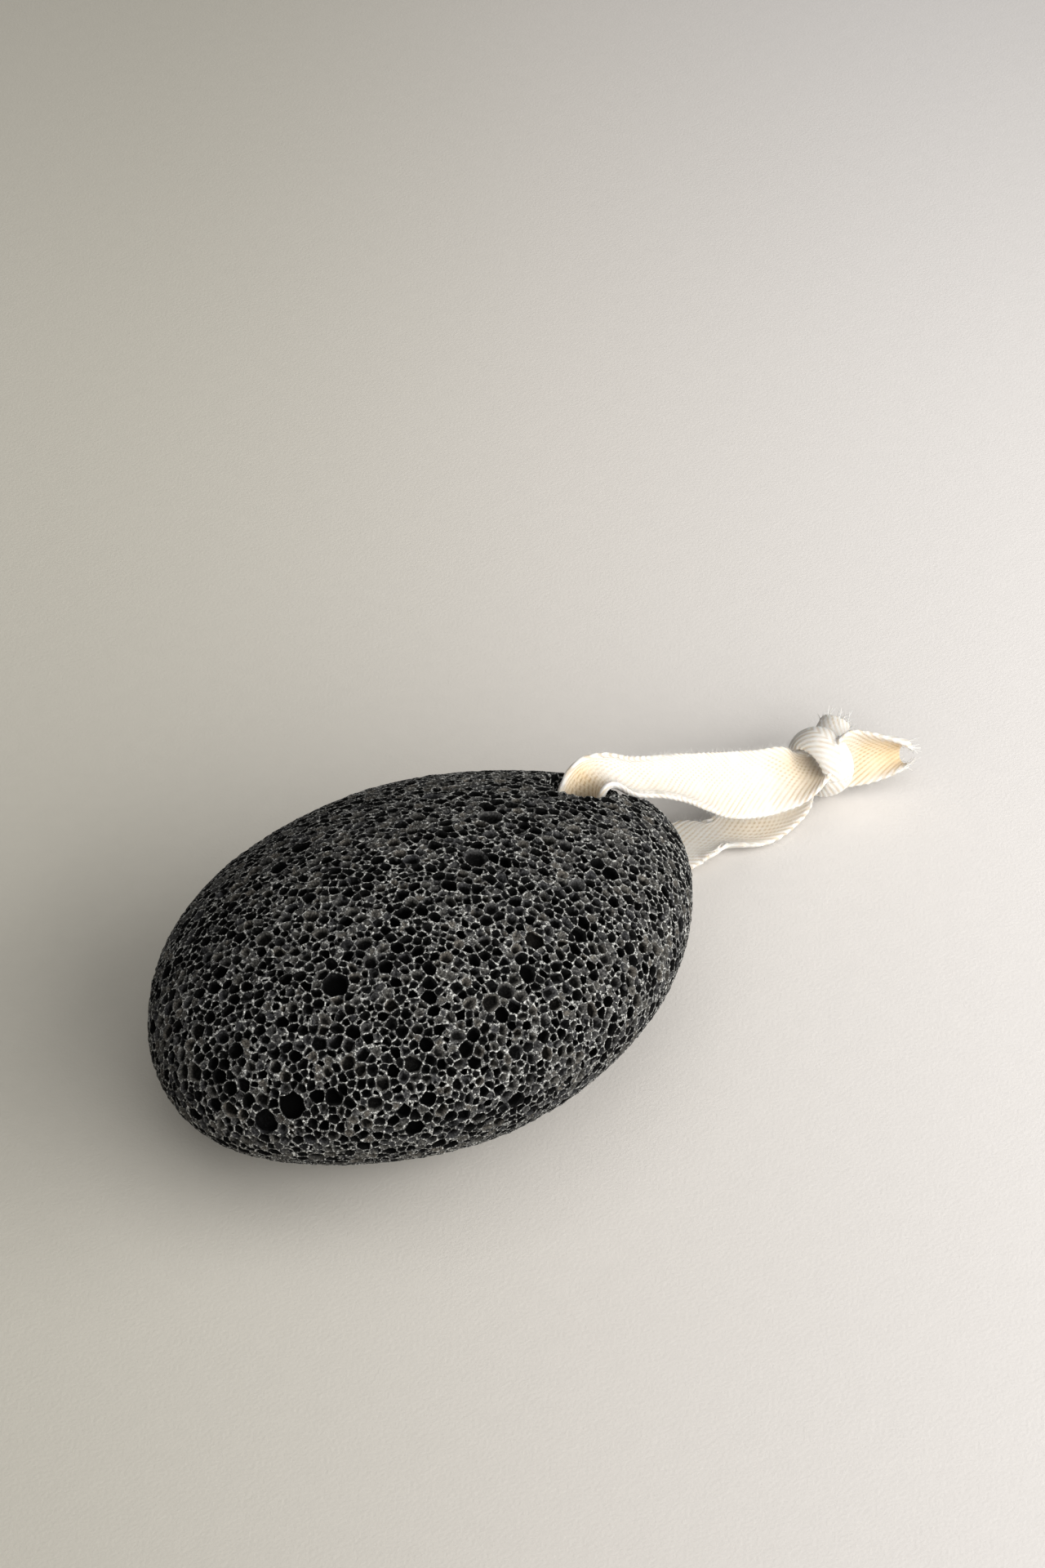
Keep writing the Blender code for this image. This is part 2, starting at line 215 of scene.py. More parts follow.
class BubbleGrid:
    """A block of cells that knows its distance to the two nearest bubbles."""

    def __init__(self, step, low, high, middle):
        self.step = step
        self.low = np.array(low)
        self.count = np.ceil((np.array(high) - self.low) / step).astype(int)
        self.axes = [
            (self.low[axis] + step * np.arange(self.count[axis])).astype(np.float32)
            for axis in range(3)
        ]
        self.solid = self.fill_solid(middle)
        self.nearest = np.full(self.count, FAR_AWAY, np.float32)
        self.second = np.full(self.count, FAR_AWAY, np.float32)
        self.owner = np.full(self.count, -1, np.int32)
        self.bubbles = 0

    def fill_solid(self, middle):
        """The smooth stone's distance for every cell, a few layers of cells at a time."""
        field = np.empty(self.count, np.float32)
        for start in range(0, self.count[0], LAYERS):
            layers = slice(start, start + LAYERS)
            places = np.meshgrid(self.axes[0][layers], *self.axes[1:], indexing="ij")
            field[layers] = solid_field(np.stack(places, -1), middle)
        return field

    def add_bubble(self, centre, radius, stretch=(1.0, 1.0, 1.0)):
        """Tells the cells near a bubble how far away it is."""
        reach = radius * max(stretch) + CORNER_GAP + WALL
        first = np.maximum(((centre - reach - self.low) / self.step).astype(int), 0)
        last = np.minimum(((centre + reach - self.low) / self.step).astype(int) + 2, self.count)
        cut = tuple(slice(a, b) for a, b in zip(first, last))
        squares = []
        for axis in range(3):
            offset = self.axes[axis][cut[axis]] - np.float32(centre[axis])
            squares.append((offset / np.float32(stretch[axis])) ** 2)
        square = squares[0][:, None, None] + squares[1][None, :, None] + squares[2]
        gap = np.sqrt(square) - np.float32(radius)
        before = self.nearest[cut]
        nearer = gap < before
        self.second[cut] = np.where(nearer, before, np.minimum(self.second[cut], gap))
        self.owner[cut] = np.where(nearer, self.bubbles, self.owner[cut])
        self.nearest[cut] = np.minimum(before, gap)
        self.bubbles += 1

    def pack(self):
        """Fills the skin with bubbles, the large ones first."""
        rng = np.random.default_rng(BUBBLE_SEED)
        solid = self.solid.ravel()
        band = np.flatnonzero((solid < BUBBLE_BAND[1]) & (solid > BUBBLE_BAND[0]))
        for place, radius, depth in BIG_BUBBLES:
            self.add_bubble(np.array(place) - outward(place) * depth, radius)
        for radius, share in BUBBLE_CLASSES:
            self.pack_class(radius, share, band, rng)

    def pack_class(self, radius, share, band, rng):
        """Adds bubbles of one class where the band still has room for them."""
        cell = self.step**3
        bubble_volume = 4.0 / 3.0 * math.pi * radius**3
        want = len(band) if share is None else int(share * len(band) * cell / bubble_volume)
        made = 0
        for _ in range(PACK_ROUNDS):
            room = self.nearest.ravel()[band] > CROWDING * radius * RADIUS_SPREAD[0]
            free = band[room]
            if made >= want or not len(free):
                break
            amount = min(len(free), max(LEAST_PICKS, int(len(free) * cell / radius**3)))
            picks = rng.choice(free, amount, False)
            spots = np.stack(np.unravel_index(picks, self.solid.shape), axis=1)
            shifts = rng.uniform(-0.5, 0.5, spots.shape)
            radii = radius * rng.uniform(*RADIUS_SPREAD, len(spots))
            stretches = rng.uniform(*STRETCH, spots.shape)
            for spot, shift, size, stretch in zip(spots, shifts, radii, stretches):
                if made < want and self.nearest[tuple(spot)] > CROWDING * size:
                    self.add_bubble(self.low + self.step * (spot + shift), size, stretch)
                    made += 1

    def foam(self):
        """The signed distance of the solid without its bubbles, and how much has crumbled."""
        rng = np.random.default_rng(BUBBLE_SEED + 2)
        crumbled = CRUMBLE_DEPTH * self.cloud(CRUMBLE_STEP, rng)
        deep = np.maximum(-self.solid - WALL_GROWTH_START, 0.0)
        wall = (WALL + WALL_GROWTH * deep - (self.second - self.nearest)) / 2.0
        wall += RAGGED * (rng.random(self.solid.shape, np.float32) - 0.5)
        floor = -self.solid - DEEPEST
        bubbles = -np.max([self.nearest - CORNER_GAP, wall, floor], axis=0)
        return np.maximum(self.solid + crumbled, bubbles), crumbled

    def cloud(self, size, rng):
        """Smooth random values from 0 to 1, with that distance between their peaks."""
        coarse = np.ceil(self.count * self.step / size).astype(int) + 1
        values = rng.random(coarse, np.float32)
        for axis in range(3):
            spots = np.linspace(0.0, coarse[axis] - CLOUD_END, self.count[axis])
            low = spots.astype(int)
            shape = [1, 1, 1]
            shape[axis] = -1
            part = (spots - low).astype(np.float32).reshape(shape)
            values = values.take(low, axis) * (1.0 - part) + values.take(low + 1, axis) * part
        return values


def largest_shell(points, quads):
    """The one skin that is joined up; the shut bubbles inside it are left out."""
    root = np.arange(len(points))
    links = np.concatenate([quads[:, [0, 1]], quads[:, [1, 2]], quads[:, [2, 3]]]).astype(np.int64)
    while len(links):
        first = root[links[:, 0]]
        second = root[links[:, 1]]
        apart = first != second
        links = links[apart]
        np.minimum.at(root, np.maximum(first, second)[apart], np.minimum(first, second)[apart])
        while True:
            further = root[root]
            if np.array_equal(further, root):
                break
            root = further
    names, sizes = np.unique(root, return_counts=True)
    kept = root == names[np.argmax(sizes)]
    number = np.cumsum(kept) - 1
    return points[kept], number[quads[kept[quads[:, 0]]]]


def mesh_object(name, points, faces):
    """A mesh object from arrays of points and of faces with equal counts of corners."""
    mesh = bpy.data.meshes.new(name)
    corners = faces.shape[1]
    mesh.vertices.add(len(points))
    mesh.vertices.foreach_set("co", points.astype(np.float32).ravel())
    mesh.loops.add(faces.size)
    mesh.loops.foreach_set("vertex_index", faces.astype(np.int32).ravel())
    mesh.polygons.add(len(faces))
    mesh.polygons.foreach_set("loop_start", np.arange(0, faces.size, corners, dtype=np.int32))
    mesh.update(calc_edges=True)
    mesh.validate()
    made = bpy.data.objects.new(name, mesh)
    bpy.context.collection.objects.link(made)
    return made


def set_attribute(mesh, name, values):
    """Gives every point of a mesh its value of an attribute."""
    layer = mesh.attributes.new(name, "FLOAT", "POINT")
    layer.data.foreach_set("value", values.astype(np.float32))


def thin_out(thing, triangles):
    """Reduces a mesh to about that many triangles."""
    thing.data.calc_loop_triangles()
    ratio = triangles / len(thing.data.loop_triangles)
    if ratio >= 1.0:
        return
    modifier = thing.modifiers.new("thin", "DECIMATE")
    modifier.ratio = ratio
    modifier.use_collapse_triangulate = True
    graph = bpy.context.evaluated_depsgraph_get()
    reduced = bpy.data.meshes.new_from_object(thing.evaluated_get(graph))
    thing.modifiers.clear()
    thing.data = reduced


def grid_value(block, grid, points):
    """The value of the block's cell at each point."""
    spots = np.rint((points - grid.low) / grid.step).astype(int)
    spots = np.clip(spots, 0, np.array(block.shape) - 1)
    return block[spots[:, 0], spots[:, 1], spots[:, 2]]


def build_stone():
    """The stone's skin of open bubbles, as one mesh."""
    middle = pebble_middle()
    low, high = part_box("pumice_stone")
    step = GRID_STEP
    margin = MARGIN_CELLS * step
    grid = BubbleGrid(step, np.array(low) - margin, np.array(high) + margin, middle)
    grid.pack()
    foam, crumbled = grid.foam()
    volume = openvdb.FloatGrid(background=FAR_AWAY)
    volume.copyFromArray(foam)
    points, _, quads = volume.convertToPolygons(isovalue=0.0, adaptivity=0.0)
    points, quads = largest_shell(points, quads)
    stone = mesh_object("stone_skin", points * grid.step + grid.low, quads)
    thin_out(stone, SKIN_TRIANGLES)

    # Each point's depth below the crumbled skin in millimetres, and its bubble's tint.
    mesh = stone.data
    corners = np.empty(len(mesh.vertices) * 3, np.float32)
    mesh.vertices.foreach_get("co", corners)
    corners = corners.reshape(-1, 3)
    depth = -(solid_field(corners, middle) + grid_value(crumbled, grid, corners)) / MILLIMETRE
    tints = np.random.default_rng(BUBBLE_SEED + 1).random(grid.bubbles + 1)
    set_attribute(mesh, "depth", depth)
    set_attribute(mesh, "tint", tints[grid_value(grid.owner, grid, corners)])
    mesh.shade_smooth()
    mesh.materials.append(pumice_material())
    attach(stone, "root")
    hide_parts("pumice_stone")


# ---- materials ----

# The sockets of a mix node for colours, by number since several share a name.
MIX_FACTOR = "0"
MIX_FIRST = "6"
MIX_SECOND = "7"
MIX_RESULT = 2

# Colours of the stone, by place on a ramp: inside a bubble, by the bubble's random tint,
# the stone's own dark greys for some and near black as painted shade for about half; the
# speckle on that, by the grain; and the rims between bubbles, by the grain, pale partly
# from wear and partly as a painted highlight.
BOWL_COLOURS = (
    (0.0, (0.002, 0.002, 0.002)),
    (0.48, (0.005, 0.005, 0.005)),
    (0.56, (0.040, 0.040, 0.042)),
    (0.85, (0.066, 0.064, 0.059)),
    (1.0, (0.085, 0.077, 0.067)),
)
SPECKLE_COLOURS = (
    (0.36, (0.35, 0.35, 0.35)),
    (0.52, (0.9, 0.9, 0.9)),
    (0.66, (2.4, 2.4, 2.3)),
)
RIM_WEAR_AND_HIGHLIGHT_COLOURS = (
    (0.38, (0.012, 0.012, 0.011)),
    (0.50, (0.085, 0.085, 0.082)),
    (0.62, (0.56, 0.56, 0.53)),
)

# Depths in millimetres over which the rims end and the bubbles get darker as painted shade,
# and the share of their colour that the deepest keep.
RIM_DEPTHS = (0.03, 0.14)
PAINTED_SHADE_DEPTHS = (0.20, 1.10)
DEEPEST_PAINTED_SHADE = 0.08


class Nodes:
    """Short calls that add and link shader nodes."""

    def __init__(self, name):
        self.material = bpy.data.materials.new(name)
        self.material.use_nodes = True
        self.tree = self.material.node_tree
        self.shader = self.tree.nodes["Principled BSDF"]

    def add(self, kind, settings=None, **inputs):
        """A new node, with its inputs by name: _ stands for a space."""
        node = self.tree.nodes.new(kind)
        for key, value in (settings or {}).items():
            setattr(node, key, value)
        for key, value in inputs.items():
            self.feed(node, key.replace("_", " "), value)
        return node

    def feed(self, node, key, value):
        """Links or sets the input with that name or number."""
        socket = node.inputs[int(key)] if key.isdigit() else node.inputs[key]
        if isinstance(value, bpy.types.NodeSocket):
            self.tree.links.new(value, socket)
        else:
            socket.default_value = value

    def attribute(self, name):
        return self.add("ShaderNodeAttribute", {"attribute_name": name}).outputs["Fac"]

    def position(self):
        return self.add("ShaderNodeTexCoord").outputs["Object"]

    def noise(self, scale, detail, roughness):
        return self.add(
            "ShaderNodeTexNoise",
            Vector=self.position(),
            Scale=scale,
            Detail=detail,
            Roughness=roughness,
        ).outputs["Fac"]

    def span(self, value, start, end, low, high):
        """Maps start..end to low..high, with a smooth step."""
        node = self.add("ShaderNodeMapRange", {"interpolation_type": "SMOOTHSTEP"})
        for key, item in enumerate((value, start, end, low, high)):
            self.feed(node, str(key), item)
        return node.outputs["Result"]

    def math(self, operation, *values):
        node = self.add("ShaderNodeMath", {"operation": operation})
        for key, item in enumerate(values):
            self.feed(node, str(key), item)
        return node.outputs["Value"]

    def mix(self, factor, first, second, blend="MIX"):
        node = self.add("ShaderNodeMix", {"data_type": "RGBA", "blend_type": blend})
        self.feed(node, MIX_FACTOR, factor)
        for key, colour in ((MIX_FIRST, first), (MIX_SECOND, second)):
            linked = isinstance(colour, bpy.types.NodeSocket)
            self.feed(node, key, colour if linked else (*colour, 1.0))
        return node.outputs[MIX_RESULT]

    def dot(self, first, second):
        node = self.add("ShaderNodeVectorMath", {"operation": "DOT_PRODUCT"})
        self.feed(node, "0", first)
        self.feed(node, "1", tuple(second))
        return node.outputs["Value"]

    def scaled(self, colour, value):
        """The colour times the value."""
        grey = self.add("ShaderNodeCombineXYZ", X=value, Y=value, Z=value)
        return self.mix(1.0, colour, grey.outputs[0], "MULTIPLY")

    def ramp(self, value, *stops):
        """The colour at that place on a ramp of (place, colour) stops."""
        node = self.add("ShaderNodeValToRGB", Fac=value)
        elements = node.color_ramp.elements
        while len(elements) < len(stops):
            elements.new(0.5)
        for element, (place, colour) in zip(elements, stops):
            element.position = place
            element.color = (*colour, 1.0)
        return node.outputs["Color"]

    def bump(self, height, distance, strength, normal=None):
        node = self.add("ShaderNodeBump", Height=height, Distance=distance, Strength=strength)
        if normal:
            self.feed(node, "Normal", normal)
        return node.outputs["Normal"]


def pumice_material():
    """Rims pale partly from wear and partly as a painted highlight, round bubbles of many dark
    tints, near black in about half and darker with depth as painted shade.
    """
    n = Nodes("pumice")
    depth = n.attribute("depth")
    grain = n.noise(2600.0, detail=4.0, roughness=0.75)
    # About half of the bubbles take a near-black tint as painted shade; the rest keep the stone's
    # own dark greys.
    bowl = n.ramp(n.attribute("tint"), *BOWL_COLOURS)
    bowl = n.mix(1.0, bowl, n.ramp(grain, *SPECKLE_COLOURS), "MULTIPLY")
    # The thin rims are pale partly from wear and partly as a painted highlight.
    rim_wear_and_highlight = n.ramp(grain, *RIM_WEAR_AND_HIGHLIGHT_COLOURS)
    rim = n.span(depth, *RIM_DEPTHS, 1.0, 0.0)
    colour = n.mix(rim, bowl, rim_wear_and_highlight)
    # Deeper down, the bubbles are darkened as painted shade.
    painted_depth_shade = n.span(depth, *PAINTED_SHADE_DEPTHS, 1.0, DEEPEST_PAINTED_SHADE)
    n.feed(n.shader, "Base Color", n.scaled(colour, painted_depth_shade))
    n.feed(n.shader, "Roughness", 0.85)
    n.feed(n.shader, "Specular IOR Level", 0.04)
    fine = n.bump(grain, distance=0.00010, strength=0.8)
    coarse = n.noise(900.0, detail=4.0, roughness=0.6)
    rough = n.bump(coarse, distance=0.00018, strength=0.7, normal=fine)
    n.feed(n.shader, "Normal", rough)
    return n.material


# ---- stage, light and camera ----

# What the camera aims at on the floor, where it stands from there, and its lens and
# sensor in millimetres.
AIM = Vector((0.0624, 0.0456, 0.0))
VIEW_AZIMUTH = math.radians(-42.0)
VIEW_ELEVATION = math.radians(38.0)
VIEW_DISTANCE = 0.698
LENS = 85.0
SENSOR = 36.0

# The ways on the floor that lead to the right of the view, and away from the camera.
VIEW_RIGHT = Vector((0.743, -0.669, 0.0))
VIEW_AWAY = Vector((0.669, 0.743, 0.0))

# The paper's colours from left to right, painted light that brightens it towards the right,
# its tone from near to far, painted shade that darkens it towards the camera, the metres
# that these cover, and half the sheet's side.
PAPER_PAINTED_LIGHT_COLOURS = (
    (0.0, (0.54, 0.515, 0.45)),
    (0.5, (0.62, 0.59, 0.55)),
    (1.0, (0.665, 0.64, 0.62)),
)
PAPER_RIGHT = (-0.09, 0.14)
PAPER_AWAY = (-0.22, 0.26)
PAPER_PAINTED_SHADE_TONES = (0.72, 1.10)
FLOOR_HALF = 3.0

# Each lamp: how far to the right of the stone, away from the camera and up it stands,
# the size of its panel, and its power.
LAMPS = (
    ("right_panel", 0.50, -0.22, 0.42, (1.1, 0.45), 2.75),
    ("low_panel", 0.42, -0.25, 0.22, (1.0, 0.30), 4.9),
    ("front_panel", 0.0, -0.90, 0.65, (1.2, 0.80), 4.4),
    ("top_panel", 0.0, 0.0, 1.10, (1.2, 1.20), 4.4),
)
LAMP_AIM = Vector((0.02, 0.015, 0.0))
LAMP_COLOUR = (1.0, 0.99, 0.975)
WORLD_COLOUR = (1.0, 0.99, 0.97, 1.0)
WORLD_STRENGTH = 0.06


def paper_material():
    """Matt paper with a faint fleck and tooth, and painted light and shade: darker to the left and
    towards the camera.
    """
    n = Nodes("paper")
    place = n.position()
    # The paper is darker to the left and towards the camera: painted light and shade.
    share = n.span(n.dot(place, VIEW_RIGHT), *PAPER_RIGHT, 0.0, 1.0)
    painted_light_tone = n.ramp(share, *PAPER_PAINTED_LIGHT_COLOURS)
    painted_light_tone = n.scaled(painted_light_tone, n.span(n.dot(place, VIEW_AWAY), *PAPER_AWAY, *PAPER_PAINTED_SHADE_TONES))
    clumps = n.noise(260.0, detail=4.0, roughness=0.6)
    fleck = n.mix(clumps, (0.97, 0.97, 0.97), (1.03, 1.03, 1.03))
    n.feed(n.shader, "Base Color", n.mix(1.0, painted_light_tone, fleck, "MULTIPLY"))
    n.feed(n.shader, "Roughness", 0.95)
    n.feed(n.shader, "Specular IOR Level", 0.2)
    tooth = n.noise(1500.0, detail=4.0, roughness=0.6)
    n.feed(n.shader, "Normal", n.bump(tooth, distance=0.00012, strength=0.5))
    return n.material


def build_stage():
    """A wide sheet of paper for the floor."""
    corners = FLOOR_HALF * np.array([(-1, -1, 0), (1, -1, 0), (1, 1, 0), (-1, 1, 0)])
    floor = mesh_object("paper_floor", corners, np.array([[0, 1, 2, 3]]))
    floor.data.materials.append(paper_material())


def area_light(name, place, size, power):
    """A panel of light that faces the stone."""
    light = bpy.data.lights.new(name, "AREA")
    light.shape = "RECTANGLE"
    light.size, light.size_y = size
    light.energy = power
    light.color = LAMP_COLOUR
    lamp = bpy.data.objects.new(name, light)
    lamp.location = place
    lamp.rotation_mode = "QUATERNION"
    lamp.rotation_quaternion = (LAMP_AIM - place).to_track_quat("-Z", "Y")
    bpy.context.collection.objects.link(lamp)


def build_light():
    """The lamps, a faint light from all round, and the plain view of colours."""
    for name, rightward, away, height, size, power in LAMPS:
        up = Vector((0.0, 0.0, height))
        place = LAMP_AIM + VIEW_RIGHT * rightward + VIEW_AWAY * away + up
        area_light(name, place, size, power)
    world = bpy.data.worlds.new("studio")
    world.use_nodes = True
    background = world.node_tree.nodes["Background"]
    background.inputs["Color"].default_value = WORLD_COLOUR
    background.inputs["Strength"].default_value = WORLD_STRENGTH
    bpy.context.scene.world = world
    bpy.context.scene.view_settings.view_transform = "Standard"


def build_camera():
    """The camera, which looks down at the stone's long side."""
    camera = bpy.data.cameras.new("camera")
    camera.lens = LENS
    camera.sensor_width = SENSOR
    camera.sensor_fit = "AUTO"
    view = bpy.data.objects.new("camera", camera)
    back = Vector((
        math.sin(VIEW_AZIMUTH) * math.cos(VIEW_ELEVATION),
        -math.cos(VIEW_AZIMUTH) * math.cos(VIEW_ELEVATION),
        math.sin(VIEW_ELEVATION),
    ))
    view.location = AIM + back * VIEW_DISTANCE
    view.rotation_mode = "QUATERNION"
    view.rotation_quaternion = (-back).to_track_quat("-Z", "Y")
    bpy.context.collection.objects.link(view)
    bpy.context.scene.camera = view


# ---- the tape ----

TAPE_WIDTH = 0.0130
TAPE_THICKNESS = 0.0012
STATION_STEP = 0.00028
STRIPS = 36

# Points of a smooth curve for each row of a route.
CURVE_STEPS = 24

# The woven ribs, and the small waves along the edges, which start SELVEDGE_START of the
# width out from the middle.
RIB_PITCH = 0.00175
RIB_SLANT = 1.55
RIB_HEIGHT = 0.00014
RIB_ROUNDNESS = 0.8
SELVEDGE_PITCH = 0.00150
SELVEDGE_WAVE = 0.00009
SELVEDGE_START = 0.47

# The band's cross-section: how closely its points crowd towards the edges, how square
# the edges are, and their least share of the thickness. An edge's lip, where fibres
# leave sideways, gets narrower as LIP_POWER grows.
EDGE_CROWDING = 0.93
EDGE_POWER = 10
EDGE_LEAST = 0.08
LIP_POWER = 6
LIP_SPREAD = 2.0

# The roll in degrees at which the painted shade inside a fold is full.
FULL_PAINTED_FOLD_SHADE = 100.0

# A loose fibre or yarn has so many sides and steps, loses STRAND_TAPER of its thickness
# by its tip, and stays above LOWEST.
STRAND_SIDES = 3
STRAND_STEPS = 3
STRAND_TAPER = 0.7
LOWEST = 0.0001

# The short fibres all over a band: how many for each station, the share of them at the
# edges, how much they stray, and their lengths and thickness.
FUZZ_SEED = 11
FUZZ_PER_STATION = 11
FUZZ_AT_EDGES = 0.45
FUZZ_STRAY = 0.45
FUZZ_LENGTHS = (0.0003, 0.0011)
FIBRE_RADIUS = 0.000018

# The yarns of a frayed end: how many stations back they point from, how many they are,
# how much they stray, and their lengths and thickness.
FRINGE_START = 5
FRINGE_YARNS = 60
FRINGE_STRAY = 0.22
FRINGE_LENGTHS = (0.0018, 0.0034)
YARN_RADIUS = 0.00016

# The loop's route from the knot, along the ground, up through the hole and back over
# the top: x, y, z in millimetres, the way that the width points, how far its width is
# rolled round in degrees, and how tall the roll is against a round one.
LOOP_ROUTE = (
    ((101.4, 8.2, 5.0), (0.15, 1.0, 0.2), -220, 0.5),
    ((96.4, 8.6, 2.6), (0.1, 1.0, 0.35), -130, 0.6),
    ((90.5, 7.2, 2.0), (0.1, 1.0, 0.4), -90, 0.8),
    ((84.5, 6.8, 1.7), (0.15, 1.0, 0.38), -85, 0.8),
    ((80.5, 7.6, 1.4), (0.25, 0.95, 0.2), -140, 0.5),
    ((77.5, 8.6, 1.3), (0.35, 0.9, 0.08), -215, 0.25),
    ((74.5, 9.6, 1.2), (0.45, 0.9, 0.0), -120, 0.3),
    ((71.0, 10.8, 1.2), (0.5, 0.87, 0.0), -30, 0.6),
    ((66.0, 11.4, 1.2), (0.2, 1.0, 0.0), 0, 1.0),
    ((60.0, 10.2, 2.0), (0.0, 1.0, 0.0), 25, 1.0),
    ((53.5, 8.2, 3.6), (-0.1, 1.0, 0.0), 75, 1.0),
    ((47.6, 6.7, 5.2), (-0.3, 0.95, 0.0), 145, 0.9),
    ((43.1, 6.4, 9.0), (-0.42, 0.9, 0.0), 190, 1.0),
    ((41.9, 6.2, 14.0), (-0.48, 0.87, 0.0), 196, 1.0),
    ((41.9, 6.2, 22.0), (-0.48, 0.87, 0.0), 196, 1.0),
    ((41.9, 6.2, 29.0), (-0.48, 0.87, 0.0), 196, 1.0),
    ((41.9, 6.0, 31.8), (-0.42, 0.9, 0.0), 198, 0.95),
    ((43.5, 5.6, 34.0), (-0.1, 0.95, 0.1), 206, 0.6),
    ((46.8, 5.3, 33.4), (0.3, 0.85, 0.28), 205, 0.34),
    ((51.0, 5.3, 30.3), (0.5, 0.8, 0.3), 205, 0.34),
    ((57.3, 5.4, 26.8), (0.62, 0.75, 0.16), 195, 0.36),
    ((63.8, 6.0, 22.8), (0.62, 0.73, 0.19), 150, 0.42),
    ((69.8, 6.6, 18.6), (0.62, 0.70, 0.28), 105, 0.5),
    ((76.6, 7.2, 14.2), (0.6, 0.65, 0.46), 55, 0.8),
    ((85.2, 7.3, 10.2), (0.58, 0.66, 0.45), 20, 1.0),
    ((91.7, 6.4, 8.4), (0.6, 0.71, 0.32), 45, 1.0),
    ((96.6, 5.6, 7.0), (0.6, 0.75, 0.05), 140, 0.7),
    ((101.4, 5.6, 6.6), (0.4, 0.8, 0.0), 235, 0.5),
)

# The row of the route that lies in the middle of the hole, where the two legs part.
HOLE_ROW = 14

# The middle of the tape where each leg leaves the hole, in millimetres.
UPPER_EXIT = (43.2, 4.5, 35.0)
LOWER_EXIT = (43.2, 4.5, 9.0)

# The tails' routes out of the knot, in the same form, and how narrow their ends are
# against their starts.
FRONT_TAIL_ROUTE = (
    ((103.2, 5.2, 8.0), (0.1, 0.1, 1.0), 120, 1.0),
    ((106.4, 4.2, 7.8), (0.1, 0.1, 1.0), 60, 1.0),
    ((109.6, 3.2, 7.3), (0.1, 0.12, 1.0), 105, 1.0),
    ((112.6, 2.3, 6.7), (0.1, 0.15, 1.0), 165, 1.0),
    ((115.2, 1.6, 6.0), (0.1, 0.2, 1.0), 225, 1.0),
    ((117.4, 1.0, 5.3), (0.1, 0.2, 1.0), 285, 1.0),
)
BACK_TAIL_ROUTE = (
    ((103.0, 8.8, 8.0), (0.5, -0.5, 0.3), 190, 1.0),
    ((105.4, 10.0, 9.0), (0.5, -0.5, 0.4), 215, 0.9),
    ((107.8, 11.2, 10.0), (0.5, -0.5, 0.5), 225, 0.9),
    ((109.8, 12.0, 10.8), (0.5, -0.5, 0.5), 225, 0.9),
)
FRONT_TAPER = 0.88
BACK_TAPER = 0.8

# The knot's turn round the legs: its middle in millimetres, its axis, its radius in
# millimetres, how far its width is rolled round in degrees, and that width in metres.
KNOT_CENTRE = (102.2, 6.6, 7.1)
WRAP_AXIS = (1.0, 0.0, 0.05)
WRAP_RADIUS = 6.2
WRAP_CUP = -115
WRAP_WIDTH = 0.0082
WRAP_STEPS = 40
WRAP_CURVE_STEPS = 12

# Colours of the cotton: its yarns and the grooves between its ribs, each in the open
# and inside a fold. The tan of the grooves and of the folds is painted shade.
YARN_COLOURS = ((0.3, (0.62, 0.60, 0.56)), (0.7, (0.70, 0.685, 0.65)))
PAINTED_GROOVE_SHADE_COLOUR = (0.54, 0.45, 0.33)
PAINTED_FOLD_SHADE_COLOUR = (0.66, 0.52, 0.33)
PAINTED_FOLD_GROOVE_SHADE_COLOUR = (0.42, 0.28, 0.14)

# Millimetres from one thread to the next, across the band and along it.
WARP_PITCH = 0.36
WEFT_PITCH = 0.42


def smooth_rows(rows, steps):
    """Catmull-Rom curve through the rows of a table, ends included."""
    rows = np.array(rows, dtype=float)
    padded = np.vstack([2.0 * rows[0] - rows[1], rows, 2.0 * rows[-1] - rows[-2]])
    curve = []
    for before, start, end, after in zip(padded, padded[1:], padded[2:], padded[3:]):
        t = np.arange(steps)[:, None] / steps
        bend = 2.0 * before - 5.0 * start + 4.0 * end - after
        swing = 3.0 * start - before - 3.0 * end + after
        curve.append(start + 0.5 * ((end - before) * t + bend * t**2 + swing * t**3))
    curve.append(rows[-1:])
    return np.vstack(curve)


def even_rows(rows, spacing):
    """The same curve, with its stations the same distance apart."""
    steps = np.linalg.norm(np.diff(rows[:, :3], axis=0), axis=1)
    travel = np.concatenate([[0.0], np.cumsum(steps)])
    count = max(3, int(round(travel[-1] / spacing)) + 1)
    stations = np.linspace(0.0, travel[-1], count)
    return stations, np.stack([np.interp(stations, travel, column) for column in rows.T], axis=1)


def route_rows(route):
    """The stations along a route: their travel, and for each its place, width and roll."""
    table = []
    for place, width, cup, tall in route:
        table.append((*(np.array(place) * MILLIMETRE), *width, cup, tall))
    step = STATION_STEP
    return even_rows(smooth_rows(table, CURVE_STEPS), step)


def herringbone(along, across):
    """Height of the woven ribs: two columns of slanting ribs that meet along the middle."""
    phase = (along + RIB_SLANT * np.abs(across)) / RIB_PITCH
    rib = 0.5 + 0.5 * np.cos(2.0 * math.pi * phase)
    return RIB_HEIGHT * (rib**RIB_ROUNDNESS - 0.5)


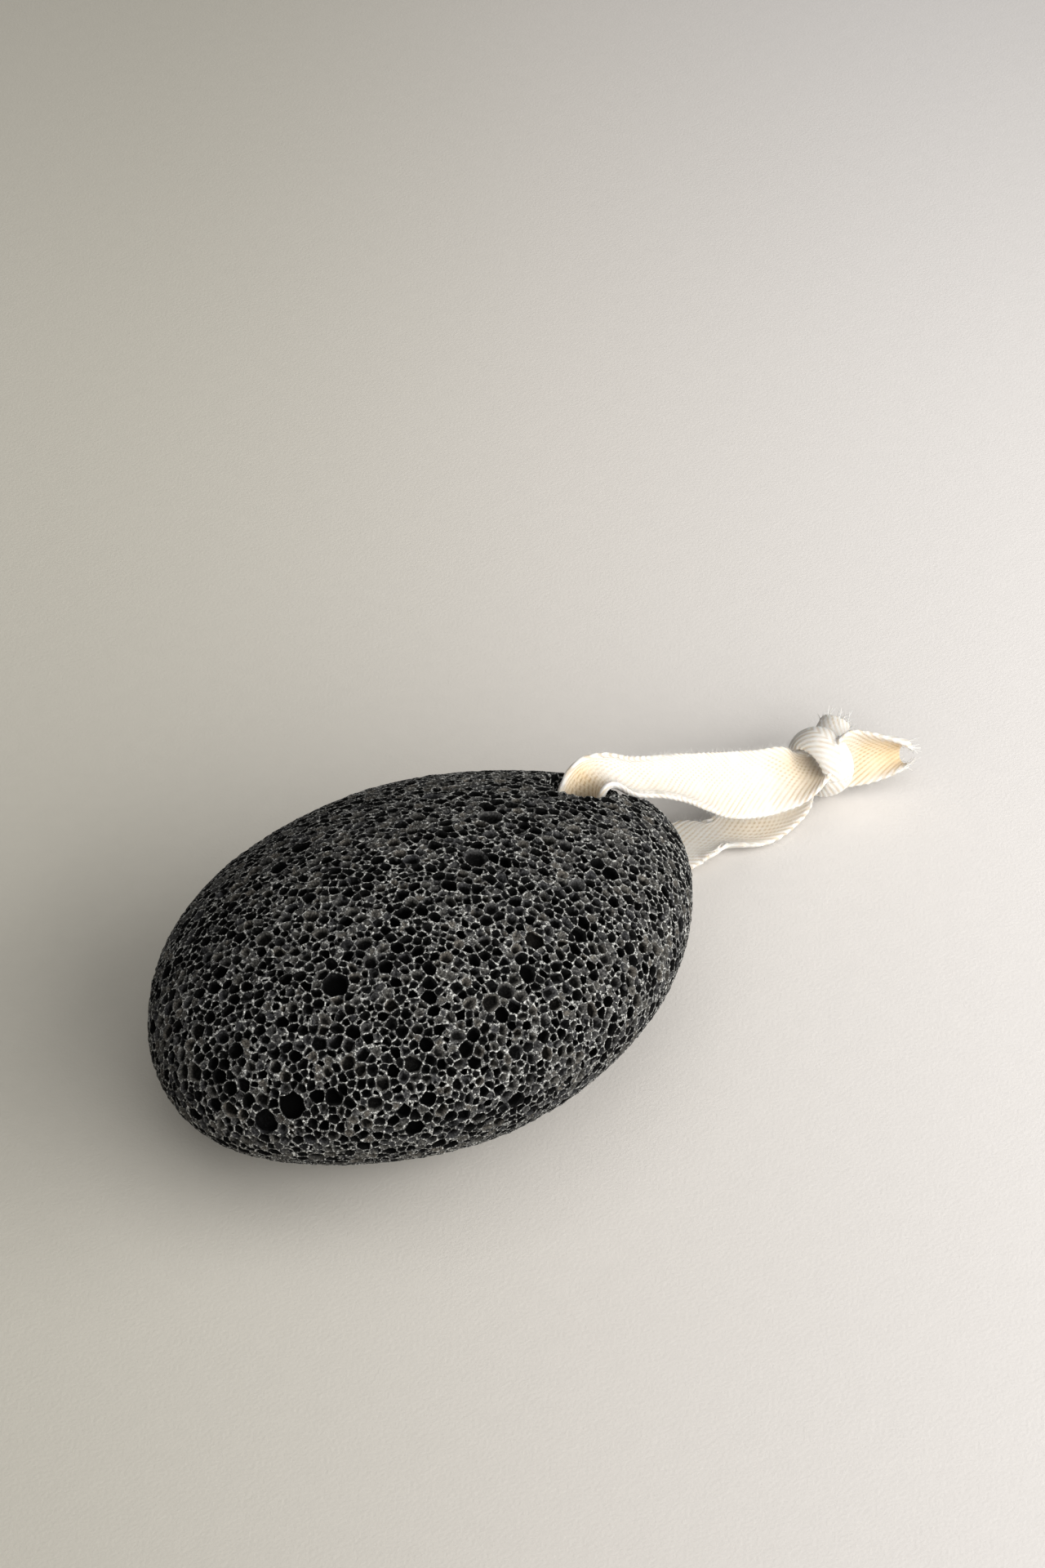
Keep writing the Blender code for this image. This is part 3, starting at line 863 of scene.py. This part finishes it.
def band(stations, rows, width, taper):
    """Points of a woven band: for each station one ring, over the face and back under it.

    With them come their places across the width, which every ring shares, and for each
    point its rib, which also sets the painted shade of the grooves, how much painted shade it
    takes from lying inside a fold, and the way that loose fibres leave it.
    """
    centres = rows[:, 0:3]
    forward = unit(np.gradient(centres, axis=0))
    across = rows[:, 3:6]
    across = unit(across - (across * forward).sum(axis=1, keepdims=True) * forward)
    up = np.cross(forward, across)
    share = np.sin(np.linspace(-0.5 * math.pi, 0.5 * math.pi, STRIPS + 1) * EDGE_CROWDING)
    share = share / share[-1] * 0.5
    wave = SELVEDGE_WAVE * np.cos(2.0 * math.pi * stations / SELVEDGE_PITCH)
    widths = width * np.linspace(1.0, taper, len(stations))[:, None]
    widths = widths + 2.0 * wave[:, None] * (np.abs(share) > SELVEDGE_START)[None, :]
    cup = np.radians(rows[:, 6])[:, None]
    tall = rows[:, 7][:, None]
    angle = cup * share[None, :]
    reach = share[None, :] * widths * np.sinc(angle / np.pi)
    rise = reach * np.tan(angle / 2.0) * tall
    lean = np.arctan2(np.sin(angle) * tall, np.cos(angle))
    middle = centres[:, None] + across[:, None] * reach[..., None] + up[:, None] * rise[..., None]
    face = up[:, None] * np.cos(lean)[..., None] - across[:, None] * np.sin(lean)[..., None]
    edge = np.sqrt(np.maximum(1.0 - np.abs(2.0 * share) ** EDGE_POWER, 0.0))
    edge = edge * (1.0 - EDGE_LEAST) + EDGE_LEAST
    rib = herringbone(stations[:, None], (share * width)[None, :])
    half = (TAPE_THICKNESS / 2.0 + rib) * edge
    over = middle + face * half[..., None]
    under = middle - face * half[..., None]
    rings = np.concatenate([over, under[:, ::-1]], axis=1)
    ribs = np.concatenate([rib, rib[:, ::-1]], axis=1) / RIB_HEIGHT + 0.5
    lip = np.abs(2.0 * share)[None, :] ** LIP_POWER
    # The concave side of a rolled band gets painted shade, all but the lips at its edges.
    fold_shade_strength = np.clip(cup * tall**2 / math.radians(FULL_PAINTED_FOLD_SHADE), -1.0, 1.0) * (1.0 - lip)
    painted_fold_shades = np.concatenate([np.maximum(fold_shade_strength, 0.0), np.maximum(-fold_shade_strength, 0.0)], axis=1)
    spread = np.sign(share)[None, :] * lip * LIP_SPREAD
    sideways = unit(np.gradient(middle, axis=1)) * spread[..., None]
    loose = np.concatenate([face + sideways, (sideways - face)[:, ::-1]], axis=1)
    return rings, np.concatenate([share, share[::-1]]) * width, ribs, painted_fold_shades, loose


def strands(name, roots, ways, lengths, radius, bends):
    """Thin tapering fibres as one mesh."""
    side = unit(np.cross(ways, bends))
    other = np.cross(ways, side)
    rings = []
    for share in np.linspace(0.0, 1.0, STRAND_STEPS + 1):
        spine = roots + (ways * share + bends * share**2) * lengths[:, None]
        for corner in range(STRAND_SIDES):
            turn = 2.0 * math.pi * corner / STRAND_SIDES
            offset = side * math.cos(turn) + other * math.sin(turn)
            rings.append(spine + offset * radius * (1.0 - STRAND_TAPER * share))
    points = np.stack(rings, axis=1)
    points[..., 2] = np.maximum(points[..., 2], LOWEST)
    faces = []
    for step in range(STRAND_STEPS):
        low = STRAND_SIDES * step
        high = low + STRAND_SIDES
        for corner in range(STRAND_SIDES):
            after = (corner + 1) % STRAND_SIDES
            faces.append((low + corner, low + after, high + after, high + corner))
    faces = np.array(faces)[None] + (np.arange(len(roots)) * points.shape[1])[:, None, None]
    made = mesh_object(name, points.reshape(-1, 3), faces.reshape(-1, 4))
    # Fibres keep the plain yarn colour, with no painted shade of grooves or folds.
    for attribute, value in (("along", 0.0), ("across", 0.0), ("rib", 1.0), ("painted_fold_shade", 0.0)):
        set_attribute(made.data, attribute, np.full(len(made.data.vertices), value))
    return made


def fuzz(name, rings, loose, rng):
    """Short loose fibres all over a band, with the most along its edges."""
    count, corners = rings.shape[:2]
    half = corners // 2
    amount = FUZZ_PER_STATION * count * 1
    along = rng.integers(1, count - 1, amount)
    spot = rng.integers(0, corners, amount)
    edges = np.array([0, 1, half - 2, half - 1, half, half + 1, corners - 2, corners - 1])
    at_edge = rng.choice(edges, amount)
    spot = np.where(rng.random(amount) < FUZZ_AT_EDGES, at_edge, spot)
    ways = unit(loose[along, spot] + rng.normal(0.0, FUZZ_STRAY, (amount, 3)))
    lengths = rng.uniform(*FUZZ_LENGTHS, amount)
    bends = rng.normal(0.0, FUZZ_STRAY, (amount, 3))
    return strands(name, rings[along, spot], ways, lengths, FIBRE_RADIUS, bends)


def fringe(name, rings, rng):
    """The frayed yarns of a band's cut end."""
    last, before = rings[-1], rings[-FRINGE_START]
    half = len(last) // 2
    middle = (last[:half] + last[::-1][:half]) / 2.0
    back = (before[:half] + before[::-1][:half]) / 2.0
    pick = np.sort(rng.uniform(0, half - 1, FRINGE_YARNS))
    low = pick.astype(int)
    part = (pick - low)[:, None]
    roots = back[low] * (1.0 - part) + back[low + 1] * part
    tips = middle[low] * (1.0 - part) + middle[low + 1] * part
    ways = unit(unit(tips - roots) + rng.normal(0.0, FRINGE_STRAY, roots.shape))
    lengths = rng.uniform(*FRINGE_LENGTHS, len(roots))
    bends = rng.normal(0.0, FRINGE_STRAY, roots.shape)
    return strands(name, roots, ways, lengths, YARN_RADIUS, bends)


def join(name, things):
    """Joins objects into the first one."""
    with bpy.context.temp_override(active_object=things[0], selected_editable_objects=things):
        bpy.ops.object.join()
    things[0].name = name
    return things[0]


def band_object(name, stations, rows, width=TAPE_WIDTH, taper=1.0, frayed=False):
    """One closed woven band with its loose fibres, as one mesh."""
    rings, across, ribs, painted_fold_shades, loose = band(stations, rows, width, taper)
    count, corners = rings.shape[:2]
    first = np.arange(count - 1)[:, None] * corners + np.arange(corners)[None, :]
    after = np.arange(count - 1)[:, None] * corners + (np.arange(corners)[None, :] + 1) % corners
    sides = np.stack([first, first + corners, after + corners, after], axis=-1).reshape(-1, 4)
    half = corners // 2
    lid = np.arange(half - 1)
    start = np.stack([lid, lid + 1, corners - lid - 2, corners - lid - 1], axis=-1)
    end = (start + (count - 1) * corners)[:, ::-1]
    made = mesh_object(name, rings.reshape(-1, 3), np.concatenate([sides, start, end]))
    set_attribute(made.data, "along", np.repeat(stations, corners) / MILLIMETRE)
    set_attribute(made.data, "across", np.tile(across, count) / MILLIMETRE)
    set_attribute(made.data, "rib", ribs.ravel())
    set_attribute(made.data, "painted_fold_shade", painted_fold_shades.ravel())
    made.data.shade_smooth()
    rng = np.random.default_rng([FUZZ_SEED, count])
    parts = [made, fuzz(name + "_fuzz", rings, loose, rng)]
    if frayed:
        parts.append(fringe(name + "_fringe", rings, rng))
    return join(name, parts)


def wrap_rows():
    """The route of the knot's turn round the two legs."""
    axis = Vector(WRAP_AXIS).normalized()
    first = axis.cross(Vector((0.0, 0.0, 1.0))).normalized()
    second = axis.cross(first)
    rows = []
    for step in range(WRAP_STEPS + 1):
        turn = 2.0 * math.pi * step / WRAP_STEPS
        spoke = first * math.cos(turn) + second * math.sin(turn)
        place = Vector(KNOT_CENTRE) + spoke * WRAP_RADIUS
        rows.append((*(place * MILLIMETRE), *axis, WRAP_CUP, 1.0))
    return even_rows(smooth_rows(rows, WRAP_CURVE_STEPS), STATION_STEP)


def build_tape():
    """The loop with its knot and tails, as two cords that part inside the hole."""
    stations, rows = route_rows(LOOP_ROUTE)
    hole = np.array(LOOP_ROUTE[HOLE_ROW][0]) * MILLIMETRE
    middle = int(np.argmin(np.linalg.norm(rows[:, :3] - hole, axis=1)))
    material = cotton_material()
    lower = band_object("lower_leg", stations[:middle + 1], rows[:middle + 1])
    upper = band_object("upper_leg", stations[middle:], rows[middle:])
    front_stations, front_rows = route_rows(FRONT_TAIL_ROUTE)
    back_stations, back_rows = route_rows(BACK_TAIL_ROUTE)
    wrap_stations, wrap = wrap_rows()
    front = band_object("front_tail", front_stations, front_rows, taper=FRONT_TAPER, frayed=True)
    back = band_object("back_tail", back_stations, back_rows, taper=BACK_TAPER, frayed=True)
    turn = band_object("knot_turn", wrap_stations, wrap, WRAP_WIDTH)
    upper = join("upper_tape", [upper, turn, front])
    lower = join("lower_tape", [lower, back])
    legs = (
        (upper, rows[middle:, :3], front_rows[:, :3], UPPER_EXIT),
        (lower, rows[middle::-1, :3], back_rows[:, :3], LOWER_EXIT),
    )
    for piece, leg, tail, mouth in legs:
        piece.data.materials.clear()
        piece.data.materials.append(material)
        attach(piece, "root")
        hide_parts("cotton_tape")


def cotton_material():
    """Soft white cotton, with painted shade: tan in the grooves between its ribs and inside folds.
    """
    n = Nodes("cotton")
    along = n.attribute("along")
    across = n.attribute("across")
    slub = n.noise(420.0, detail=3.0, roughness=0.6)
    wear = n.noise(230.0, detail=3.0, roughness=0.6)
    worn = n.span(wear, 0.35, 0.65, 0.10, 0.75)
    # The grooves between the ribs are tan as painted shade, less so in random patches.
    groove = n.math("MAXIMUM", n.span(n.attribute("rib"), 0.05, 0.70, 0.0, 1.0), worn)
    open_colour = n.mix(groove, PAINTED_GROOVE_SHADE_COLOUR, n.ramp(slub, *YARN_COLOURS))
    # Inside a fold the cotton is tan as painted shade.
    painted_fold_shade_colour = n.mix(groove, PAINTED_FOLD_GROOVE_SHADE_COLOUR, PAINTED_FOLD_SHADE_COLOUR)
    patches = n.noise(160.0, detail=2.0, roughness=0.5)
    fold_shade_amount = n.math("MULTIPLY", n.attribute("painted_fold_shade"), n.span(patches, 0.3, 0.7, 0.75, 1.0))
    colour = n.mix(fold_shade_amount, open_colour, painted_fold_shade_colour)
    n.feed(n.shader, "Base Color", colour)
    n.feed(n.shader, "Roughness", 0.95)
    n.feed(n.shader, "Specular IOR Level", 0.2)
    n.feed(n.shader, "Sheen Weight", 0.15)
    n.feed(n.shader, "Sheen Roughness", 0.6)
    n.feed(n.shader, "Subsurface Weight", 0.15)
    n.feed(n.shader, "Subsurface Radius", (0.0012, 0.0007, 0.0004))
    n.feed(n.shader, "Subsurface Scale", 1.0)
    warp = n.math("SINE", n.math("MULTIPLY", across, 2.0 * math.pi / WARP_PITCH))
    weft = n.math("SINE", n.math("MULTIPLY", along, 2.0 * math.pi / WEFT_PITCH))
    weave = n.math("MULTIPLY", n.math("ADD", warp, weft), 0.25)
    fluff = n.bump(n.noise(5200.0, detail=4.0, roughness=0.7), distance=0.00008, strength=0.6)
    n.feed(n.shader, "Normal", n.bump(weave, distance=0.00008, strength=0.3, normal=fluff))
    return n.material


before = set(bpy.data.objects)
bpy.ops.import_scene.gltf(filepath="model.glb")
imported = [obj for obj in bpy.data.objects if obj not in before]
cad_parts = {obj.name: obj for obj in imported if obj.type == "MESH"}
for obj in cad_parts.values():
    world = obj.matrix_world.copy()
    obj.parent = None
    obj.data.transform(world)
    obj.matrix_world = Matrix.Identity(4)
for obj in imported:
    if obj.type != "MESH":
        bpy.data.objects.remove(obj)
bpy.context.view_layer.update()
build_stone()
build_tape()
build_stage()
build_light()
build_camera()
